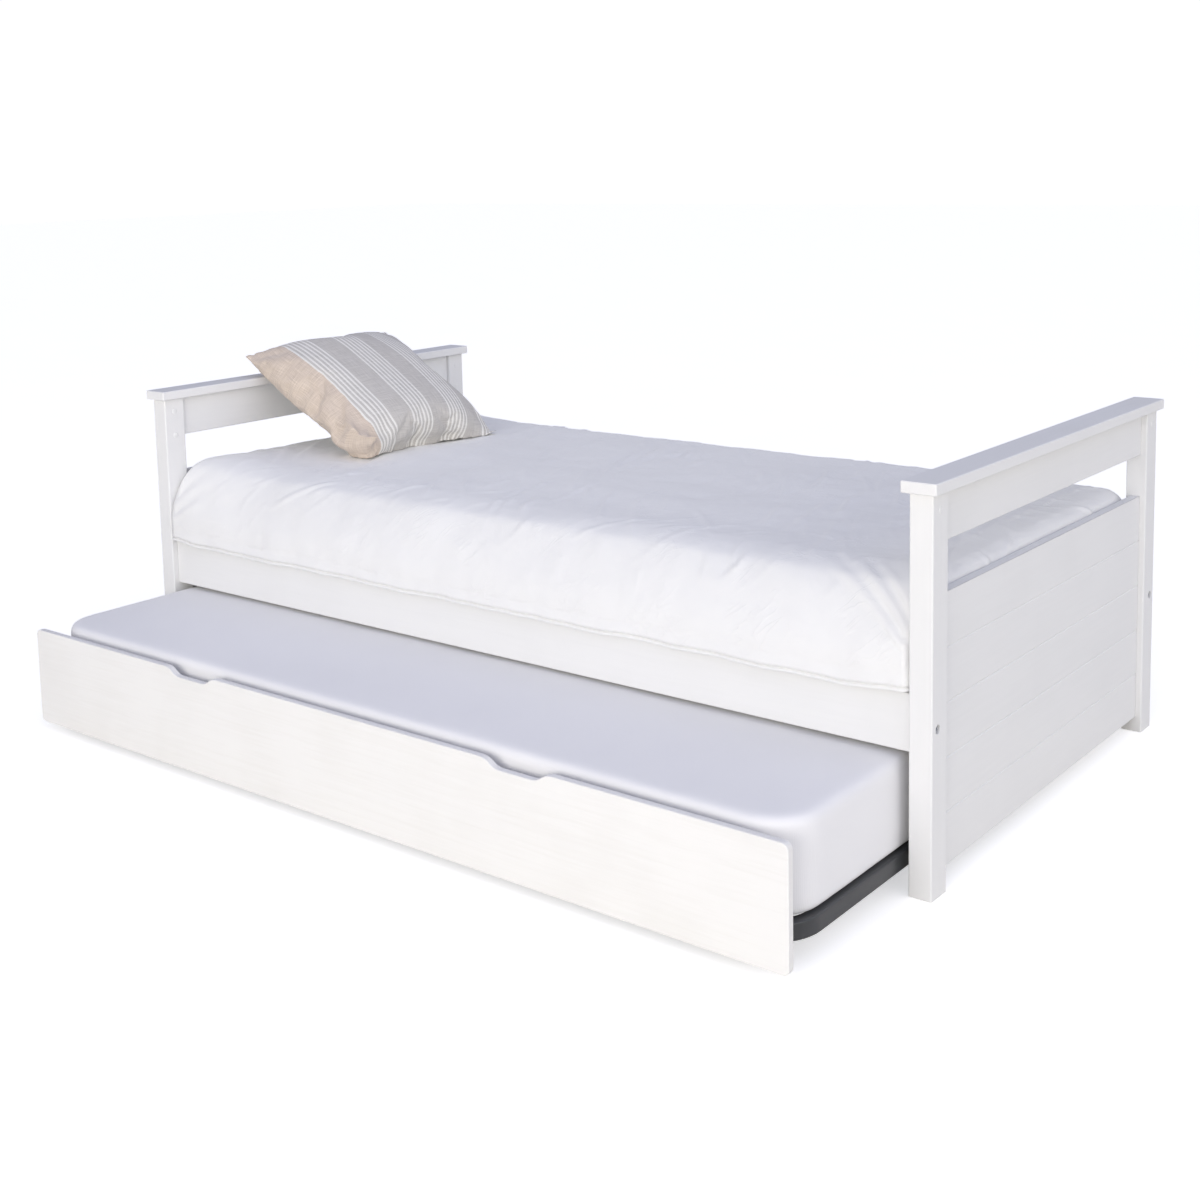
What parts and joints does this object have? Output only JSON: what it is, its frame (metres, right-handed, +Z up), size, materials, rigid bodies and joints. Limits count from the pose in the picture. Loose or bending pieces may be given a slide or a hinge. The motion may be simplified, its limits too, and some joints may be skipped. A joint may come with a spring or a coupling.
{
  "type": "trundle bed",
  "caption": "Single day bed with matching low headboard and footboard, cover and scatter cushion, and a roll-out trundle bed with its own mattress stored underneath.",
  "frame": {"origin": "floor point below the middle of the outer box, with the trundle part-way out as modelled", "axes": "+X along the bed from headboard to footboard, the trundle rolls out towards -Y, +Z up"},
  "size_m": [2.012, 1.384, 0.7946],
  "materials": {
    "white_lacquer": "satin",
    "pine": "matte",
    "grey_steel": "satin",
    "zinc_steel": "satin",
    "grey_nylon": "matte",
    "mattress_cloth": "matte",
    "white_cotton": "matte",
    "striped_linen": "matte"
  },
  "bodies": {
    "root": {"headboard_post_front": "white_lacquer", "headboard_post_back": "white_lacquer", "headboard_bolt_front": "zinc_steel", "headboard_bolt_back": "zinc_steel", "headboard_cap": "white_lacquer", "headboard_upper_rail": "white_lacquer", "headboard_panel": "white_lacquer", "footboard_post_front": "white_lacquer", "footboard_post_back": "white_lacquer", "footboard_bolt_front": "zinc_steel", "footboard_bolt_back": "zinc_steel", "footboard_cap": "white_lacquer", "footboard_upper_rail": "white_lacquer", "footboard_panel": "white_lacquer", "side_rail_front": "white_lacquer", "side_rail_back": "white_lacquer", "slat_ledger_front": "pine", "slat_ledger_back": "pine", "bed_slat_01": "pine", "bed_slat_02": "pine", "bed_slat_03": "pine", "bed_slat_04": "pine", "bed_slat_05": "pine", "bed_slat_06": "pine", "bed_slat_07": "pine", "bed_slat_08": "pine", "bed_slat_09": "pine", "bed_slat_10": "pine", "mattress": "mattress_cloth", "bed_cover": "white_cotton", "scatter_cushion": "striped_linen"},
    "trundle": {"trundle_front": "white_lacquer", "trundle_ring": "grey_steel", "cross_tube_head": "grey_steel", "cross_tube_foot": "grey_steel", "trundle_slat_01": "pine", "trundle_slat_02": "pine", "trundle_slat_03": "pine", "trundle_slat_04": "pine", "trundle_slat_05": "pine", "trundle_slat_06": "pine", "trundle_slat_07": "pine", "trundle_slat_08": "pine", "trundle_slat_09": "pine", "trundle_slat_10": "pine", "trundle_mattress": "mattress_cloth", "caster_fork_head_front": "zinc_steel", "caster_axle_head_front": "zinc_steel", "caster_fork_head_back": "zinc_steel", "caster_axle_head_back": "zinc_steel", "caster_fork_foot_front": "zinc_steel", "caster_axle_foot_front": "zinc_steel", "caster_fork_foot_back": "zinc_steel", "caster_axle_foot_back": "zinc_steel", "front_bracket_head": "grey_steel", "front_bracket_foot": "grey_steel"},
    "wheel_head_front": {"caster_wheel_head_front": "grey_nylon"},
    "wheel_head_back": {"caster_wheel_head_back": "grey_nylon"},
    "wheel_foot_front": {"caster_wheel_foot_front": "grey_nylon"},
    "wheel_foot_back": {"caster_wheel_foot_back": "grey_nylon"}
  },
  "joints": [
    {"name": "trundle_slide", "type": "slide", "parent": "root", "child": "trundle", "axis": [0, -1, 0], "range_m": [-0.367, 0.6]},
    {"name": "roll_head_front", "type": "hinge", "parent": "trundle", "child": "wheel_head_front", "pos_m": [-0.7, -0.552, 0.018], "axis": [1, 0, 0], "continuous": true},
    {"name": "roll_head_back", "type": "hinge", "parent": "trundle", "child": "wheel_head_back", "pos_m": [-0.7, 0.098, 0.018], "axis": [1, 0, 0], "continuous": true},
    {"name": "roll_foot_front", "type": "hinge", "parent": "trundle", "child": "wheel_foot_front", "pos_m": [0.7, -0.552, 0.018], "axis": [1, 0, 0], "continuous": true},
    {"name": "roll_foot_back", "type": "hinge", "parent": "trundle", "child": "wheel_foot_back", "pos_m": [0.7, 0.098, 0.018], "axis": [1, 0, 0], "continuous": true}
  ],
  "couplings": [
    {"joint": "roll_head_front", "follows": "trundle_slide", "rad_per_m": 55.556},
    {"joint": "roll_head_back", "follows": "trundle_slide", "rad_per_m": 55.556},
    {"joint": "roll_foot_front", "follows": "trundle_slide", "rad_per_m": 55.556},
    {"joint": "roll_foot_back", "follows": "trundle_slide", "rad_per_m": 55.556}
  ]
}
